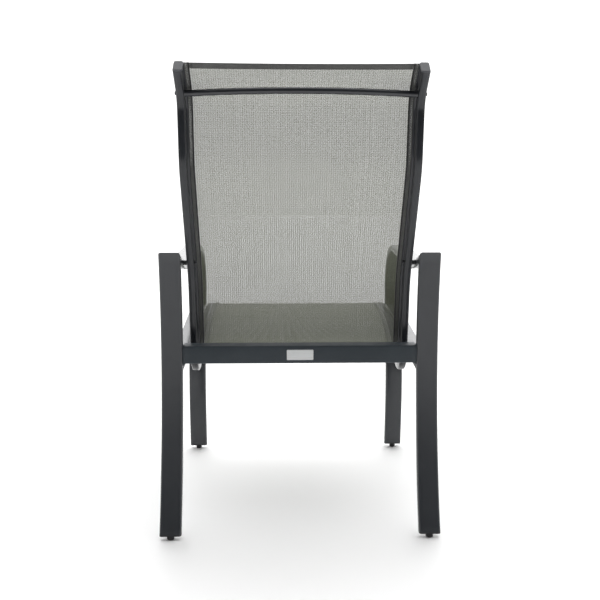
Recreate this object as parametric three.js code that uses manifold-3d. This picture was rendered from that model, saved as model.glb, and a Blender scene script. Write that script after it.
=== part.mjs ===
// A stationary patio chair with a high back: a welded frame of flat tube carries two bent rails,
// and one piece of woven mesh is stretched between the rails as seat and back.
// Millimetres. X runs across the chair, -Y is its front, +Z is up, and it stands on Z = 0.
import * as THREE from "three";
import { mergeVertices } from "three/addons/utils/BufferGeometryUtils.js";
import Module from "manifold-3d";

const wasm = await Module();
wasm.setup();

// Whole chair
const chairWidth = 635;
const footSpread = 545; // middle of the front foot to middle of the rear foot
const seatHeight = 445; // floor to the front of the seat
const armRise = 186.5; // seat height to the corner where arm and rear leg meet
const backRise = 588; // seat height to the top end of the rails
const gap = 0.3; // between pieces that touch

// Flat tube of the side frames
const tubeWidth = 49;
const tubeDepth = 18;
const tubeWall = 1.8;
const tubeCorner = 5;
const rearLegRadius = 1400;
const frontLegRadius = 700;
const frontBendRadius = 118;
const armDipRadius = 350;

// Stretchers
const stretcherCorner = 3.5;
const sideStretcherWidth = 38;
const sideStretcherHeight = 22;
const rearStretcherHeight = 41;
const rearStretcherDepth = 39;
const rearStretcherInset = 4; // behind it, the rear leg stands this much further back
const frontStretcherHeight = 38;

// Sling rail, bent from one extrusion: a box, and along its inner sitting edge a lobe that holds the channel
const railWidth = 21;
const railDepth = 30;
const railWall = 1.6;
const railCorner = 4;
const railBackCorner = 5;
const railGap = 8; // between rail and side frame
const lobeReach = 4; // lobe past the box
const lobeWall = 1;
const channelTilt = THREE.MathUtils.degToRad(45); // the channel opens inward and up
const frontRollRadius = 32;
const seatRadius = 450;
const seatBendRadius = 45;
const lumbarRadius = 250;
const shoulderRadius = 170;
const topRollRadius = 90;

// Sling and the rods that hold its edges in the channels
const fabricThickness = 1.1;
const hemWidth = 9.5;
const splineRadius = 2.2;
const slingMargin = 0.5; // the cloth ends this far short of the rail's ends

// Brace behind the top of the sling
const braceRadius = 7;
const braceBow = 50;
const braceEndLength = 14; // straight end, square to the rail
const braceElbowRadius = 25;

// Fasteners
const boltRadius = 3;
const boltHeadRadius = 5.25;
const boltHeadHeight = 4;
const insertRadius = 4.5;
const insertFlangeRadius = 6.5;
const insertFlange = 0.8;
const insertLength = 11;
const spacerRadius = 5.5;
const screwRadius = 2.5;
const screwHeadRadius = 4.5;
const screwHeadHeight = 2.8;
const screwReach = 13; // into the end of the brace

// Feet, plugs and caps
const glideRadius = 8.25;
const glideHeight = 9.5;
const glideEdge = 1.8;
const glideStemRadius = 3;
const glideStemLength = 14;
const plugFlange = 2.6;
const plugLength = 20;
const plugClearance = 0.5;
const capWidth = 19.4;
const capFlange = 3;
const capInsert = 10;

// Plate on the rear stretcher, left bare
const plateWidth = 61;
const plateHeight = 24;
const plateThickness = 1;
const plateCorner = 2;

// How finely curves are cut
const turnStep = THREE.MathUtils.degToRad(9);
const chordLimit = 48;
const drillOverrun = 6;
const roundSides = 12;
const channelSteps = 8;
const splineSides = 6;

// Side view, as shares. Y is a share of the foot spread, front negative. Z is a share of the seat height,
// or of the arm's or the back's rise above it.
const frontFootShare = -0.5376;
const rearFootShare = 0.4624;
const frontLegKneeShares = [-0.5064, 0.472];
const frontCornerShares = [-0.6459, 0.948];
const armDipShares = [0.167, 0.806];
const armCornerShare = 0.3633;
const sideStretcherRearShare = 0.854;
const sideStretcherFrontShare = 0.951;
const rearStretcherShare = 0.9144;
const frontStretcherShare = 0.635;
const railFrontEndShares = [-0.5633, 0.872];
const railFrontRollShares = [-0.5725, 0.9739];
const railSeatShares = [-0.1817, 0.9308];
const railBendShares = [0.1749, 0.749];
const railLumbarShares = [0.2312, 0.2211];
const railShoulderShares = [0.4516, 0.6604];
const railTopRollShares = [0.4798, 0.9094];
const railTopEndShare = 0.58;
const braceShare = 0.9188;
const rearBoltShare = -0.191;
const frontBoltShare = -0.395;

// Places worked out from the sizes
const frameInner = chairWidth / 2 - tubeWidth; // the side frame's inner face
const frameMiddle = chairWidth / 2 - tubeWidth / 2;
const railOuter = frameInner - railGap;
const railMiddle = railOuter - railWidth / 2;
const railInner = railOuter - railWidth;
const railWaist = railInner + lobeReach; // inner side of the rail's box
const legStart = glideHeight + gap; // underside of the plugs
const tubeStart = legStart + plugFlange + gap;
const channelRadius = splineRadius + fabricThickness + 2 * gap;
const mouthHalf = fabricThickness + gap;
const channelFromCorner = railWall + Math.sqrt(channelRadius ** 2 - mouthHalf ** 2);
const channelFromFace = railCorner + (channelFromCorner - railCorner) * Math.cos(channelTilt);
const channelLevel = railDepth / 2 - railCorner - (channelFromCorner - railCorner) * Math.sin(channelTilt);
const channelX = railInner + channelFromFace;
const clothLevel = railDepth / 2 - fabricThickness + gap / 2; // the hem is flush with the rail's sitting side
const hollowTop = channelLevel - channelRadius - railWall;
const hollowHeight = hollowTop + railDepth / 2 - railWall;
const hollowLevel = hollowTop - hollowHeight / 2;
const hollowWidth = railWidth - lobeReach - 2 * railWall;
const boltHole = boltRadius + gap;
const insertHole = insertRadius + gap;
const screwHole = screwRadius + gap;

const xAxis = new THREE.Vector3(1, 0, 0);
const yAxis = new THREE.Vector3(0, 1, 0);
const zAxis = new THREE.Vector3(0, 0, 1);

const powderCoat = new THREE.MeshStandardMaterial({ color: 0x3d4043, roughness: 0.42, metalness: 0.25 });
const plastic = new THREE.MeshStandardMaterial({ color: 0x4a4a4d, roughness: 0.55, metalness: 0 });
const rubber = new THREE.MeshStandardMaterial({ color: 0x1d1d1f, roughness: 0.7, metalness: 0 });
const mesh = new THREE.MeshStandardMaterial({ color: 0x8f9188, roughness: 0.8, metalness: 0 });
const steel = new THREE.MeshStandardMaterial({ color: 0x2a2b2d, roughness: 0.4, metalness: 0.8 });
const silver = new THREE.MeshStandardMaterial({ color: 0xb9babb, roughness: 0.35, metalness: 0.9 });

const chair = new THREE.Group();

function side(y, z) {
  return new THREE.Vector3(0, y, z);
}

function add(name, geometry, material, x = 0) {
  geometry.computeVertexNormals();
  const piece = new THREE.Mesh(geometry, material);
  piece.name = name;
  piece.position.x = x;
  chair.add(piece);
  return piece;
}

// A rounded rectangle, counterclockwise, each corner an arc cut into steps.
function roundedBox(width, height, corner, steps = 2, level = 0) {
  const radius = Math.min(corner, width / 2, height / 2);
  const points = [];
  const centres = [[1, 1], [-1, 1], [-1, -1], [1, -1]];
  centres.forEach(([right, up], quarter) => {
    for (let i = 0; i <= steps; i++) {
      const angle = (quarter + i / steps) * Math.PI / 2;
      points.push([
        right * (width / 2 - radius) + radius * Math.cos(angle),
        level + up * (height / 2 - radius) + radius * Math.sin(angle),
      ]);
    }
  });
  return points;
}

function circle(radius, sides, x = 0, level = 0) {
  return Array.from({ length: sides }, (_, i) => {
    const angle = 2 * Math.PI * i / sides;
    return [x + radius * Math.cos(angle), level + radius * Math.sin(angle)];
  });
}

// Stations along straight runs joined by arcs. Each corner is [point, radius]. Where two arcs
// don't fit in the run between them, both give way.
function bentPath(corners) {
  const stations = [];
  const points = corners.map(([point]) => point);
  const runs = points.slice(1).map((point, i) => point.clone().sub(points[i]));
  const wanted = corners.map(([, radius], i) => (
    runs[i - 1] && runs[i] ? radius * Math.tan(runs[i - 1].angleTo(runs[i]) / 2) : 0
  ));
  const room = runs.map((run, i) => Math.min(1, run.length() / (wanted[i] + wanted[i + 1])));
  stations.push({ at: points[0].clone(), along: runs[0].clone().normalize() });
  for (let i = 1; i < points.length - 1; i++) {
    const before = runs[i - 1].clone().normalize();
    const after = runs[i].clone().normalize();
    const turn = before.angleTo(after);
    const reach = wanted[i] * Math.min(room[i - 1], room[i]);
    const radius = reach / Math.tan(turn / 2);
    const inward = after.clone().addScaledVector(before, -after.dot(before)).normalize();
    const centre = points[i].clone().addScaledVector(before, -reach).addScaledVector(inward, radius);
    const steps = Math.max(2, Math.ceil(turn / turnStep), Math.ceil(turn * radius / chordLimit));
    for (let k = 0; k <= steps; k++) {
      const angle = turn * k / steps;
      stations.push({
        at: centre.clone()
          .addScaledVector(inward, -radius * Math.cos(angle))
          .addScaledVector(before, radius * Math.sin(angle)),
        along: before.clone().multiplyScalar(Math.cos(angle)).addScaledVector(inward, Math.sin(angle)),
      });
    }
  }
  stations.push({ at: points.at(-1).clone(), along: runs.at(-1).clone().normalize() });
  return stations;
}

// Stations on one arc in the side view, from start to end, bulging towards the front.
function bowedPath(start, end, radius) {
  const chord = end.clone().sub(start);
  const half = chord.length() / 2;
  const bend = Math.max(radius, half);
  const up = chord.clone().normalize();
  const back = new THREE.Vector3().crossVectors(up, xAxis);
  const centre = start.clone().add(end).multiplyScalar(1 / 2)
    .addScaledVector(back, Math.sqrt(bend ** 2 - half ** 2));
  const turn = 2 * Math.asin(half / bend);
  const steps = Math.ceil(turn * bend / chordLimit);
  return Array.from({ length: steps + 1 }, (_, k) => {
    const angle = turn * (k / steps - 1 / 2);
    return {
      at: centre.clone()
        .addScaledVector(back, -bend * Math.cos(angle))
        .addScaledVector(up, bend * Math.sin(angle)),
      along: up.clone().multiplyScalar(Math.cos(angle)).addScaledVector(back, Math.sin(angle)),
    };
  });
}

function wound(loop, clockwise) {
  const points = loop.map(([a, b]) => new THREE.Vector2(a, b));
  return THREE.ShapeUtils.isClockWise(points) === clockwise ? loop : [...loop].reverse();
}

// A closed tube: the section [across, level] is carried along the stations, level being square to both
// the path and the across direction. A station with a face is cut to the plane that the face is square to.
function sweep(stations, outline, holes = [], across = xAxis, middle = 0) {
  const loops = [wound(outline, false), ...holes.map((hole) => wound(hole, true))];
  const section = loops.flat();
  const count = section.length;
  const positions = [];
  for (const { at, along, face } of stations) {
    const level = new THREE.Vector3().crossVectors(across, along);
    for (const [a, b] of section) {
      const point = at.clone().addScaledVector(across, a + middle).addScaledVector(level, b);
      if (face) {
        const slip = point.clone().sub(at).dot(face) / along.dot(face);
        point.addScaledVector(along, -slip);
      }
      positions.push(point.x, point.y, point.z);
    }
  }
  const triangles = [];
  let first = 0;
  for (const loop of loops) {
    const size = loop.length;
    for (let s = 0; s < stations.length - 1; s++) {
      for (let i = 0; i < size; i++) {
        const near = s * count + first;
        const far = near + count;
        const next = (i + 1) % size;
        triangles.push(near + i, far + next, near + next, near + i, far + i, far + next);
      }
    }
    first += size;
  }
  const flat = loops.map((loop) => loop.map(([a, b]) => new THREE.Vector2(a, b)));
  const last = (stations.length - 1) * count;
  for (const [p, q, r] of THREE.ShapeUtils.triangulateShape(flat[0], flat.slice(1))) {
    triangles.push(p, q, r, last + p, last + r, last + q);
  }
  const geometry = new THREE.BufferGeometry();
  geometry.setAttribute("position", new THREE.Float32BufferAttribute(positions, 3));
  geometry.setIndex(triangles);
  return geometry;
}

// Geometry to solid and back, for cuts and joins.
function solid(geometry) {
  const bare = geometry.clone();
  bare.deleteAttribute("normal");
  bare.deleteAttribute("uv");
  const merged = mergeVertices(bare, 1e-4);
  return new wasm.Manifold(new wasm.Mesh({
    numProp: 3,
    vertProperties: new Float32Array(merged.attributes.position.array),
    triVerts: new Uint32Array(merged.index.array),
  }));
}

function geometryOf(body) {
  const { vertProperties, triVerts } = body.getMesh();
  const geometry = new THREE.BufferGeometry();
  geometry.setAttribute("position", new THREE.Float32BufferAttribute(vertProperties, 3));
  geometry.setIndex(Array.from(triVerts));
  return geometry;
}

// A cylinder along X from one x to another, for drilling.
function drillX(radius, from, to, y, z) {
  const rod = new THREE.CylinderGeometry(radius, radius, Math.abs(to - from), roundSides);
  rod.rotateZ(Math.PI / 2);
  rod.translate((from + to) / 2, y, z);
  return solid(rod);
}

function cut(geometry, drills) {
  return geometryOf(drills.reduce((body, drill) => body.subtract(drill), solid(geometry)));
}

// A turned piece: the profile [radius, height] goes round the X axis, its height counted from x towards `heading`.
function turned(profile, x, heading, y, z) {
  const points = profile.map(([radius, height]) => new THREE.Vector2(radius, height));
  const geometry = new THREE.LatheGeometry(points, roundSides);
  geometry.rotateZ(-heading * Math.PI / 2);
  geometry.translate(x, y, z);
  return geometry;
}

// The point where two paths in the side view cross, or where they come nearest.
function crossing(first, second) {
  let best = { distance: Infinity };
  for (let i = 0; i < first.length - 1; i++) {
    const run = new THREE.Line3(first[i].at, first[i + 1].at);
    for (let k = 0; k < second.length - 1; k++) {
      const other = second[k + 1].at.clone().sub(second[k].at);
      const along = run.delta(new THREE.Vector3());
      const across = along.y * other.z - along.z * other.y;
      const start = second[k].at.clone().sub(run.start);
      const t = THREE.MathUtils.clamp((start.y * other.z - start.z * other.y) / across, 0, 1);
      const u = THREE.MathUtils.clamp((start.y * along.z - start.z * along.y) / across, 0, 1);
      const here = run.at(t, new THREE.Vector3());
      const there = second[k].at.clone().addScaledVector(other, u);
      const distance = here.distanceTo(there);
      if (distance < best.distance) best = { distance, point: here.add(there).multiplyScalar(1 / 2) };
    }
  }
  return best.point;
}

// The point of a path in the side view at a given y or z, looked for from its start.
function pointAt(path, axis, value) {
  for (let i = 0; i < path.length - 1; i++) {
    const from = path[i].at[axis];
    const to = path[i + 1].at[axis];
    if ((from - value) * (to - value) <= 0 && from !== to) {
      return path[i].at.clone().lerp(path[i + 1].at, (value - from) / (to - from));
    }
  }
  return path.at(-1).at.clone();
}

// A path moved sideways, square to itself, by a level.
function shifted(path, level) {
  return path.map(({ at, along }) => ({
    at: at.clone().addScaledVector(new THREE.Vector3().crossVectors(xAxis, along), level),
    along: along.clone(),
  }));
}

// Side view of the frame
const armCorner = side(armCornerShare * footSpread, seatHeight + armRise);
const rearLegPath = bowedPath(side(rearFootShare * footSpread, tubeStart), armCorner, rearLegRadius);
const armPath = bentPath([
  [side(frontFootShare * footSpread, tubeStart), 0],
  [side(frontLegKneeShares[0] * footSpread, frontLegKneeShares[1] * seatHeight), frontLegRadius],
  [side(frontCornerShares[0] * footSpread, seatHeight + frontCornerShares[1] * armRise), frontBendRadius],
  [side(armDipShares[0] * footSpread, seatHeight + armDipShares[1] * armRise), armDipRadius],
  [armCorner, 0],
]);

// Arm and rear leg meet in a mitre, with the gap split between them.
const armEnd = armPath.at(-1);
const legEnd = rearLegPath.at(-1);
const mitreFace = armEnd.along.clone().add(legEnd.along.clone().negate()).normalize();
const mitre = new THREE.Vector3().crossVectors(
  xAxis,
  armEnd.along.clone().add(legEnd.along).normalize(),
);
if (mitre.dot(mitreFace) < 0) mitre.negate();
armEnd.face = mitre;
legEnd.face = mitre;
armEnd.at = armCorner.clone().addScaledVector(mitre, -gap / 2);
legEnd.at = armCorner.clone().addScaledVector(mitre, gap / 2);
rearLegPath[0].face = zAxis;
armPath[0].face = zAxis;

// Side view of the sling rail, from the front of the seat to the top of the back
const railPath = bentPath([
  [side(railFrontEndShares[0] * footSpread, railFrontEndShares[1] * seatHeight), 0],
  [side(railFrontRollShares[0] * footSpread, railFrontRollShares[1] * seatHeight), frontRollRadius],
  [side(railSeatShares[0] * footSpread, railSeatShares[1] * seatHeight), seatRadius],
  [side(railBendShares[0] * footSpread, railBendShares[1] * seatHeight), seatBendRadius],
  [side(railLumbarShares[0] * footSpread, seatHeight + railLumbarShares[1] * backRise), lumbarRadius],
  [side(railShoulderShares[0] * footSpread, seatHeight + railShoulderShares[1] * backRise), shoulderRadius],
  [side(railTopRollShares[0] * footSpread, seatHeight + railTopRollShares[1] * backRise), topRollRadius],
  [side(railTopEndShare * footSpread, seatHeight + backRise), 0],
]);
const boltPath = shifted(railPath, hollowLevel);

// Bolts join each rail to the side frame in three places, all through the rail's hollow.
const seatBoltPath = boltPath.filter(({ at }) => at.z < seatHeight);
const bolts = {
  upper: crossing(armPath, boltPath.filter(({ at }) => at.z > seatHeight)),
  rear: pointAt(seatBoltPath, "y", rearBoltShare * footSpread),
  front: pointAt(seatBoltPath, "y", frontBoltShare * footSpread),
};

// The side stretcher runs from leg to leg through the two seat bolts.
function legFace(path, height, towardsBack) {
  const middle = pointAt(path, "z", height);
  const near = path.reduce((a, b) => (Math.abs(b.at.z - height) < Math.abs(a.at.z - height) ? b : a));
  const square = new THREE.Vector3().crossVectors(near.along, xAxis);
  const outward = towardsBack ? square : square.clone().negate();
  return { at: middle.addScaledVector(outward, tubeDepth / 2 + gap), face: square };
}

const frontLegPath = armPath.filter(({ at }, i) => i === 0 || at.z <= seatHeight + armRise / 2 && at.y < 0);
const stretcherRear = legFace(rearLegPath, sideStretcherRearShare * seatHeight, false);
const stretcherFront = legFace(frontLegPath, sideStretcherFrontShare * seatHeight, true);
const stretcherCurve = new THREE.CatmullRomCurve3(
  [stretcherFront.at, bolts.front, bolts.rear, stretcherRear.at],
  false,
  "centripetal",
);
const stretcherSteps = Math.ceil(stretcherCurve.getLength() / chordLimit);
const sideStretcherPath = Array.from({ length: stretcherSteps + 1 }, (_, i) => ({
  at: stretcherCurve.getPointAt(i / stretcherSteps),
  along: stretcherCurve.getTangentAt(i / stretcherSteps),
}));
sideStretcherPath[0].face = stretcherFront.face;
sideStretcherPath.at(-1).face = stretcherRear.face;

// Sections
const tubeOutline = roundedBox(tubeWidth, tubeDepth, tubeCorner);
const tubeHollow = roundedBox(tubeWidth - 2 * tubeWall, tubeDepth - 2 * tubeWall, tubeCorner - tubeWall, 1);

function boxTube(width, height) {
  return [
    roundedBox(width, height, stretcherCorner),
    [roundedBox(width - 2 * tubeWall, height - 2 * tubeWall, stretcherCorner - tubeWall, 1)],
  ];
}

// Points on an arc, from one angle to another.
function arc(x, level, radius, from, to, steps) {
  return Array.from({ length: steps + 1 }, (_, i) => {
    const angle = from + (to - from) * i / steps;
    return [x + radius * Math.cos(angle), level + radius * Math.sin(angle)];
  });
}

// The rail's outline, inner side at +a: a box whose sitting edge swells into the lobe, and the channel
// that opens through the lobe's rounded corner.
function railOutline() {
  const half = railWidth / 2;
  const waist = half - lobeReach;
  const low = -railDepth / 2;
  const high = railDepth / 2;
  const centre = half - channelFromFace;
  const turn = 2 * Math.PI;
  const lip = Math.asin(mouthHalf / railCorner);
  const mouth = Math.asin(mouthHalf / channelRadius);
  const lobe = channelRadius + lobeWall;
  const lobeStart = -Math.acos((waist - centre) / lobe);
  const lobeEnd = -Math.acos(Math.min(1, (half - centre) / lobe));
  const corner = (from, to) => arc(half - railCorner, high - railCorner, railCorner, from, to, 1);
  return [
    ...arc(waist - railBackCorner, low + railBackCorner, railBackCorner, -Math.PI / 2, 0, 3),
    ...arc(centre, channelLevel, lobe, lobeStart, lobeEnd, 3),
    ...corner(0, channelTilt - lip),
    ...arc(centre, channelLevel, channelRadius, channelTilt - mouth, channelTilt + mouth - turn, channelSteps),
    ...corner(channelTilt + lip, Math.PI / 2),
    ...arc(railCorner - half, high - railCorner, railCorner, Math.PI / 2, Math.PI, 2),
    ...arc(railCorner - half, low + railCorner, railCorner, Math.PI, 3 * Math.PI / 2, 2),
  ];
}

function hollowOutline(clearance) {
  const slack = 2 * clearance;
  return roundedBox(hollowWidth - slack, hollowHeight - slack, railCorner - railWall, 1, hollowLevel);
}

// The cloth's section across the whole chair: doubled at the hems, which turn down into the channels
// and make a loop round each spline.
function slingSection() {
  const loopRadius = channelRadius - gap;
  const half = fabricThickness;
  const join = Math.asin(half / loopRadius);
  const loop = (right) => {
    const mouth = right ? Math.PI - channelTilt : channelTilt;
    const x = (right ? 1 : -1) * channelX;
    return arc(x, channelLevel, loopRadius, mouth + join, mouth + 2 * Math.PI - join, channelSteps);
  };
  const rise = clothLevel - channelLevel;
  const turnX = (face) => {
    const run = (rise + face * half * (1 - Math.cos(channelTilt))) / Math.sin(channelTilt);
    return channelX - run * Math.cos(channelTilt) + face * half * Math.sin(channelTilt);
  };
  const hemEdge = railInner - hemWidth;
  const single = hemEdge - fabricThickness;
  const low = clothLevel - half;
  const high = clothLevel + half;
  const lowSingle = clothLevel - fabricThickness / 2;
  const highSingle = clothLevel + fabricThickness / 2;
  const outline = [
    [-turnX(-1), low], [-hemEdge, low], [-single, lowSingle],
    [single, lowSingle], [hemEdge, low], [turnX(-1), low],
    ...loop(true),
    [turnX(1), high], [hemEdge, high], [single, highSingle],
    [-single, highSingle], [-hemEdge, high], [-turnX(1), high],
    ...loop(false),
  ];
  const hole = (x) => circle(splineRadius + gap, splineSides, x, channelLevel);
  return [outline, [hole(channelX), hole(-channelX)]];
}

// Side frames
function addSideFrame(name, sign) {
  const inward = sign * frameInner;
  const wallEnd = sign * (frameInner + tubeWall + drillOverrun);
  const wallStart = sign * (frameInner - drillOverrun);
  const insertDrill = ({ y, z }) => drillX(insertHole, wallStart, wallEnd, y, z);
  const arm = sweep(armPath, tubeOutline, [tubeHollow], xAxis, sign * frameMiddle);
  add(name + "_arm_and_front_leg", cut(arm, [insertDrill(bolts.upper)]), powderCoat);
  add(name + "_rear_leg", sweep(rearLegPath, tubeOutline, [tubeHollow], xAxis, sign * frameMiddle), powderCoat);
  const [outline, hollow] = boxTube(sideStretcherWidth, sideStretcherHeight);
  const middle = inward + sign * sideStretcherWidth / 2;
  const stretcher = sweep(sideStretcherPath, outline, hollow, xAxis, middle);
  add(name + "_side_stretcher", cut(stretcher, [bolts.rear, bolts.front].map(insertDrill)), powderCoat);
  addFoot(name + "_rear", rearLegPath[0], sign);
  addFoot(name + "_front", armPath[0], sign);
}

// A plug closes the end of each leg, and the glide's stem is pressed up into it.
function addFoot(name, { at, along }, sign) {
  const atHeight = (height) => ({
    at: at.clone().addScaledVector(along, (height - at.z) / along.z),
    along,
    face: zAxis,
  });
  const middle = sign * frameMiddle;
  const flangeTop = legStart + plugFlange;
  const flange = sweep([atHeight(legStart), atHeight(flangeTop)], tubeOutline, [], xAxis, middle);
  const slack = 2 * (tubeWall + plugClearance);
  const inside = roundedBox(tubeWidth - slack, tubeDepth - slack, tubeCorner - tubeWall, 1);
  const body = sweep([atHeight(flangeTop - plugFlange / 2), atHeight(flangeTop + plugLength)], inside, [], xAxis, middle);
  const foot = atHeight(legStart).at;
  const bore = new THREE.CylinderGeometry(
    glideStemRadius + gap, glideStemRadius + gap, 2 * (plugLength + plugFlange), roundSides,
  );
  bore.rotateX(Math.PI / 2);
  bore.translate(middle, foot.y, foot.z);
  add(name + "_leg_plug", geometryOf(solid(flange).add(solid(body)).subtract(solid(bore))), plastic);
  const profile = [
    [0, 0], [glideRadius - glideEdge, 0], [glideRadius, glideEdge],
    [glideRadius, glideHeight - glideEdge / 2], [glideRadius - glideEdge / 2, glideHeight],
    [glideStemRadius, glideHeight], [glideStemRadius, glideHeight + glideStemLength], [0, glideHeight + glideStemLength],
  ].map(([radius, height]) => new THREE.Vector2(radius, height));
  const glide = new THREE.LatheGeometry(profile, 2 * roundSides);
  glide.rotateX(Math.PI / 2);
  glide.translate(middle, foot.y, 0);
  add(name + "_glide", glide, rubber);
}

// Cross stretchers
function addStretcher(name, centre, height, depth) {
  const [outline, hollow] = boxTube(depth, height);
  const reach = frameInner - gap;
  const ends = [-reach, reach].map((x) => ({ at: centre.clone().setX(x), along: xAxis }));
  add(name, sweep(ends, outline, hollow, yAxis), powderCoat);
}

// Sling rails with their caps
function addRail(name, sign) {
  const middle = sign * railMiddle;
  // The section is drawn with the chair's middle at +a, so it is mirrored on the left side.
  const facing = (points) => points.map(([a, b]) => [-sign * a, b]);
  const outline = railOutline();
  const hollow = hollowOutline(0).map(([a, b]) => [a - lobeReach / 2, b]);
  const body = sweep(railPath, facing(outline), [facing(hollow)], xAxis, middle);
  const from = sign * (railInner - drillOverrun);
  const to = sign * (railOuter + drillOverrun);
  const drills = Object.values(bolts).map(({ y, z }) => drillX(boltHole, from, to, y, z));
  drills.push(drillX(screwHole, from, to, bracePlace.y, bracePlace.z));
  add(name + "_sling_rail", cut(body, drills), powderCoat);
  addCap(name + "_rail_top_cap", railPath.at(-1), 1, sign);
  addCap(name + "_rail_front_cap", railPath[0], -1, sign);
  const rod = circle(splineRadius, splineSides, 0, channelLevel);
  add(name + "_spline", sweep(slingPath, rod, [], xAxis, sign * channelX), plastic);
}

function addCap(name, { at, along }, heading, sign) {
  const place = (distance) => ({ at: at.clone().addScaledVector(along, heading * distance), along });
  const run = (from, to) => (heading > 0 ? [place(from), place(to)] : [place(to), place(from)]);
  const outline = roundedBox(capWidth, railDepth, railCorner);
  const middle = sign * railMiddle;
  const flange = sweep(run(gap, gap + capFlange), outline, [], xAxis, middle);
  const insideMiddle = middle + sign * lobeReach / 2;
  const body = sweep(run(-capInsert, gap + capFlange / 2), hollowOutline(plugClearance), [], xAxis, insideMiddle);
  add(name, geometryOf(solid(flange).add(solid(body))), plastic);
}

// One bolt: its head lies against the inner side of the rail's box, and an insert in the frame takes its end.
function addBolt(name, { y, z }, sign) {
  const headStart = sign * (railWaist - gap - boltHeadHeight);
  const shankLength = frameInner + insertLength - railWaist;
  const crown = boltHeadRadius / 2;
  const headProfile = [
    [0, 0], [crown, 0], [boltHeadRadius, boltHeadHeight / 2], [boltHeadRadius, boltHeadHeight],
    [boltRadius, boltHeadHeight], [boltRadius, boltHeadHeight + shankLength], [0, boltHeadHeight + shankLength],
  ];
  add(name + "_bolt", turned(headProfile, headStart, sign, y, z), steel);
  const flangeStart = sign * (frameInner - gap - insertFlange);
  const insertProfile = [
    [boltHole, 0], [insertFlangeRadius, 0], [insertFlangeRadius, insertFlange], [insertRadius, insertFlange],
    [insertRadius, insertLength], [boltHole, insertLength], [boltHole, 0],
  ];
  add(name + "_insert", turned(insertProfile, flangeStart, sign, y, z), steel);
  const spacerLength = railGap - insertFlange - 3 * gap;
  const spacerProfile = [
    [boltHole, 0], [spacerRadius, 0], [spacerRadius, spacerLength], [boltHole, spacerLength], [boltHole, 0],
  ];
  add(name + "_spacer", turned(spacerProfile, sign * (railOuter + gap), sign, y, z), plastic);
}

// Brace: square ends at the rails, bowed towards the back between them.
const braceHeight = seatHeight + braceShare * backRise;
const bracePlace = pointAt(boltPath.filter(({ at }) => at.z > seatHeight + backRise / 2), "z", braceHeight);

function addBrace() {
  const end = railWaist - gap;
  const across = (x, bow) => bracePlace.clone().add(new THREE.Vector3(x, bow, 0));
  const bowStart = end - braceEndLength;
  const crownRadius = (bowStart ** 2 + braceBow ** 2) / (2 * braceBow);
  const crown = 2 * braceBow / (1 - (braceBow / bowStart) ** 2);
  const path = bentPath([
    [across(-end, 0), 0],
    [across(-bowStart, 0), braceElbowRadius],
    [across(0, crown), crownRadius],
    [across(bowStart, 0), braceElbowRadius],
    [across(end, 0), 0],
  ]);
  const rod = sweep(path, circle(braceRadius, roundSides), [], zAxis);
  const drills = [-1, 1].map((sign) => (
    drillX(screwHole, sign * (end - screwReach - gap), sign * (end + drillOverrun), bracePlace.y, bracePlace.z)
  ));
  add("back_brace", cut(rod, drills), powderCoat);
  for (const [name, sign] of [["left", 1], ["right", -1]]) {
    const reach = railWidth - lobeReach + 2 * gap + screwReach;
    const profile = [
      [0, 0], [screwRadius, 0], [screwRadius, reach], [screwHeadRadius, reach],
      [screwHeadRadius, reach + screwHeadHeight / 2], [screwHeadRadius / 2, reach + screwHeadHeight],
      [0, reach + screwHeadHeight],
    ];
    const start = sign * (railOuter + gap - reach);
    add(name + "_brace_screw", turned(profile, start, sign, bracePlace.y, bracePlace.z), steel);
  }
}

// The cloth and the splines stop a little short of both ends of the rails.
const slingPath = railPath.map(({ at, along }) => ({ at: at.clone(), along }));
slingPath[0].at.addScaledVector(slingPath[0].along, slingMargin);
slingPath.at(-1).at.addScaledVector(slingPath.at(-1).along, -slingMargin);

// Assembly
for (const [name, sign] of [["left", 1], ["right", -1]]) {
  addSideFrame(name, sign);
  addRail(name, sign);
  for (const [place, point] of Object.entries(bolts)) addBolt(name + "_" + place, point, sign);
}

const rearStretcherHeightMiddle = rearStretcherShare * seatHeight;
const rearStretcherPlace = pointAt(rearLegPath, "z", rearStretcherHeightMiddle);
rearStretcherPlace.y += tubeDepth / 2 - rearStretcherInset - rearStretcherDepth / 2;
addStretcher("rear_stretcher", rearStretcherPlace, rearStretcherHeight, rearStretcherDepth);
const frontStretcherPlace = pointAt(frontLegPath, "z", frontStretcherShare * seatHeight);
addStretcher("front_stretcher", frontStretcherPlace, frontStretcherHeight, tubeDepth);

addBrace();

const [slingOutline, slingHoles] = slingSection();
add("sling", sweep(slingPath, slingOutline, slingHoles), mesh);

const plateShape = new THREE.Shape(
  roundedBox(plateWidth, plateHeight, plateCorner).map(([x, z]) => new THREE.Vector2(x, z)),
);
const plate = new THREE.ExtrudeGeometry(plateShape, { depth: plateThickness, bevelEnabled: false });
plate.rotateX(Math.PI / 2);
plate.translate(
  0, rearStretcherPlace.y + rearStretcherDepth / 2 + gap + plateThickness, rearStretcherPlace.z,
);
add("label_plate", plate, silver);

// The origin is on the floor, under the middle of the chair.
const reach = new THREE.Box3().setFromObject(chair);
const placed = new THREE.Group();
chair.position.y = -(reach.min.y + reach.max.y) / 2;
placed.add(chair);

export default placed;
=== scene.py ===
# A stationary sling patio chair with a high back, seen from behind.
# Metres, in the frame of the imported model: X runs across, -Y is the front, +Z is up.
# The painted tubes, rails and fittings get fine rounded surfaces in the places of their solids,
# and the sling becomes thin woven mesh with sewn hems.
import math

import bmesh
import bpy
from mathutils import Matrix, Vector


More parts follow.
